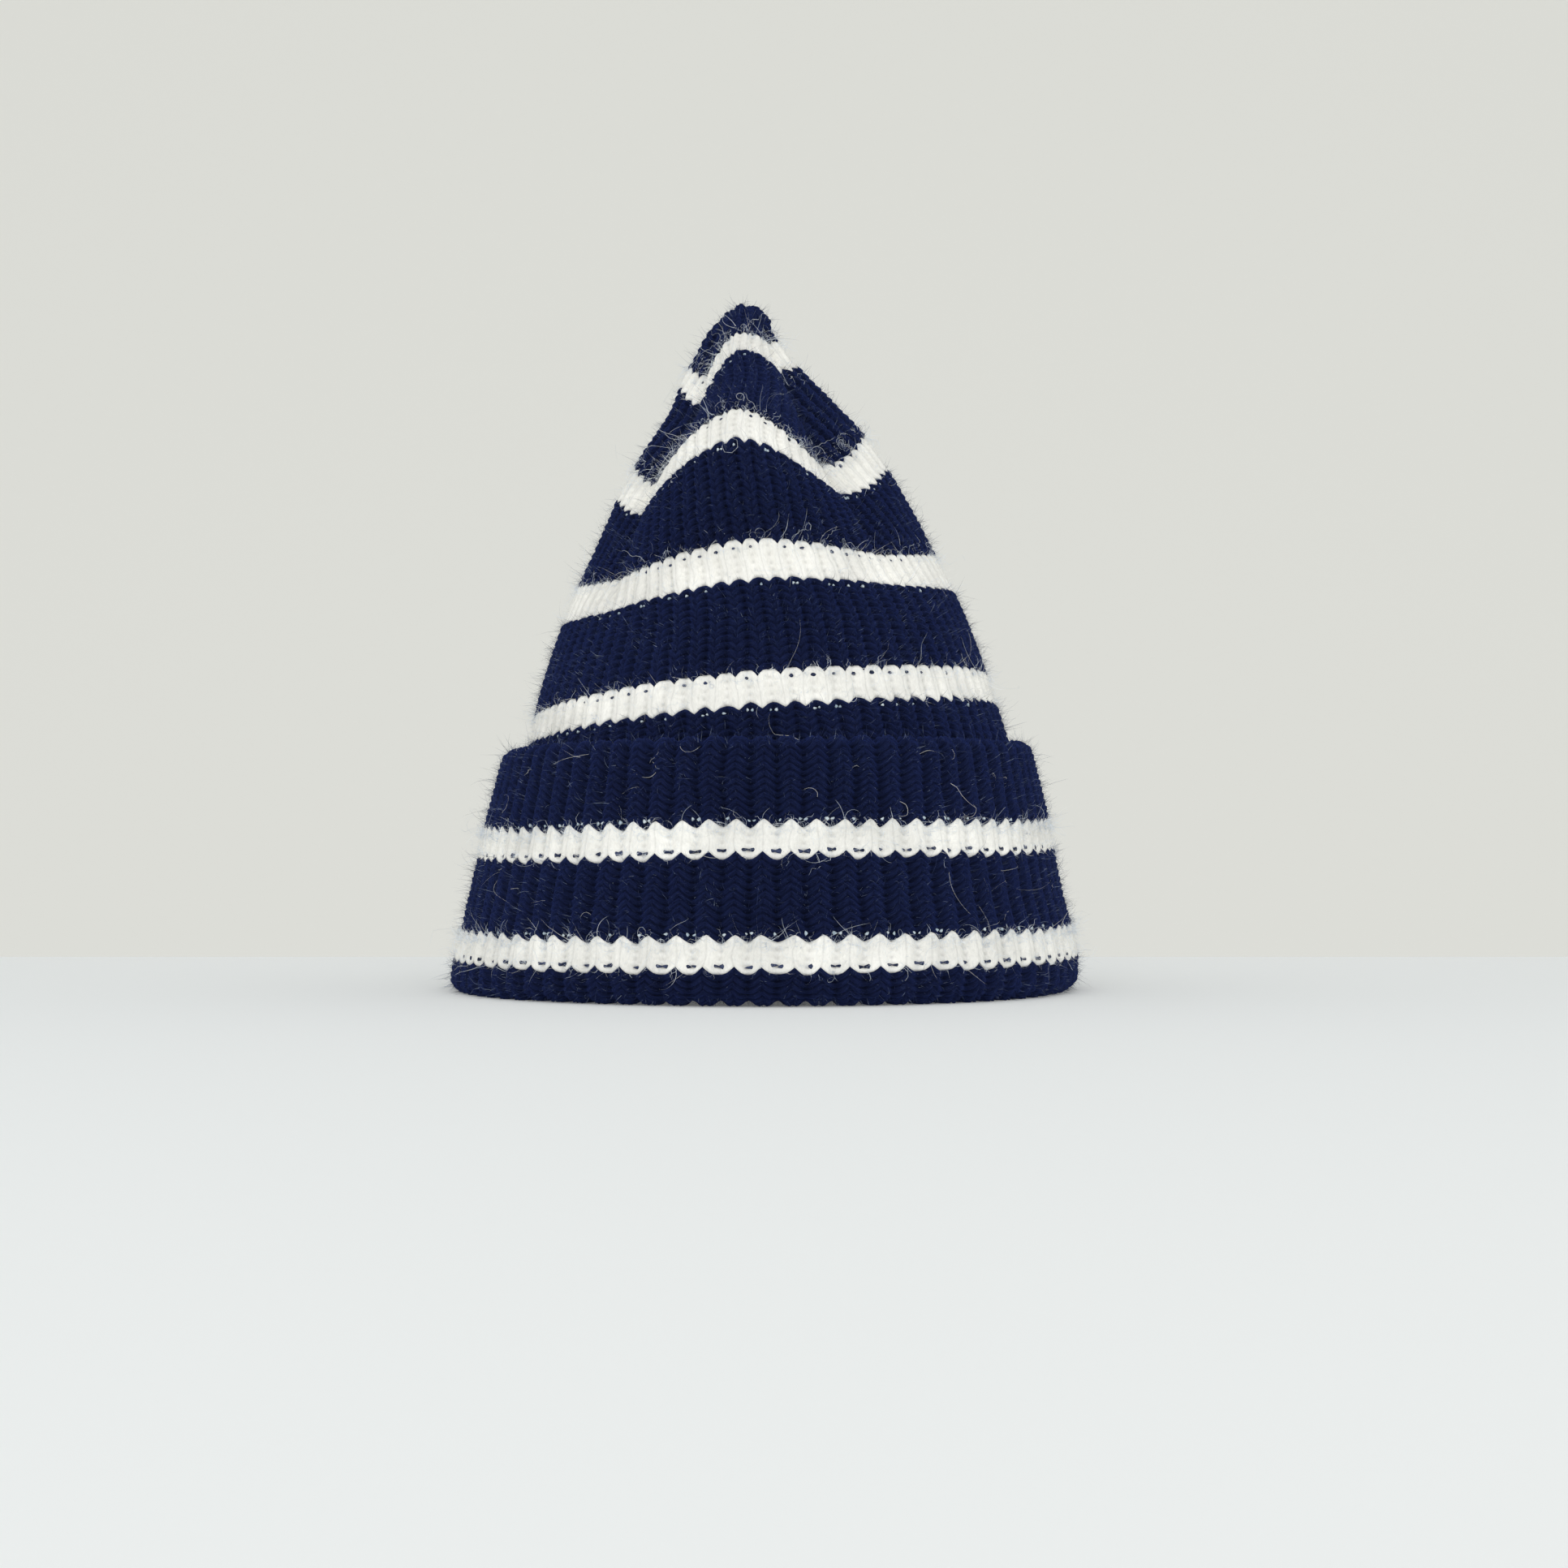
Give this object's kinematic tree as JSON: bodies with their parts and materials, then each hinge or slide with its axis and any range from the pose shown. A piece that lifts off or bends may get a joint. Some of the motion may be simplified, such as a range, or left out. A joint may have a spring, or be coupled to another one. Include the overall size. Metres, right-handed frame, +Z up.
{
  "type": "striped beanie",
  "caption": "Tall pointed rib-knit beanie with white stripes on navy, a four-panel gathered crown and a turned-up cuff.",
  "frame": {"origin": "middle of the folded hem, on the surface that the hat stands on", "axes": "+Z up to the tip, -Y the front, +X the wearer's left, on the right in a view of the front"},
  "size_m": [0.1812, 0.1812, 0.1958],
  "materials": {
    "navy_wool": "soft brushed wool, matt",
    "white_wool": "soft brushed wool, matt"
  },
  "bodies": {
    "root": {"crown_tip": "navy_wool", "crown_stripe_1": "white_wool", "crown_band_1": "navy_wool", "crown_stripe_2": "white_wool", "crown_band_2": "navy_wool", "crown_stripe_3": "white_wool", "crown_band_3": "navy_wool", "crown_stripe_4": "white_wool", "crown_base": "navy_wool", "cuff_stripe_lower": "white_wool", "cuff_band": "navy_wool", "cuff_stripe_upper": "white_wool", "cuff_edge": "navy_wool"}
  },
  "joints": []
}
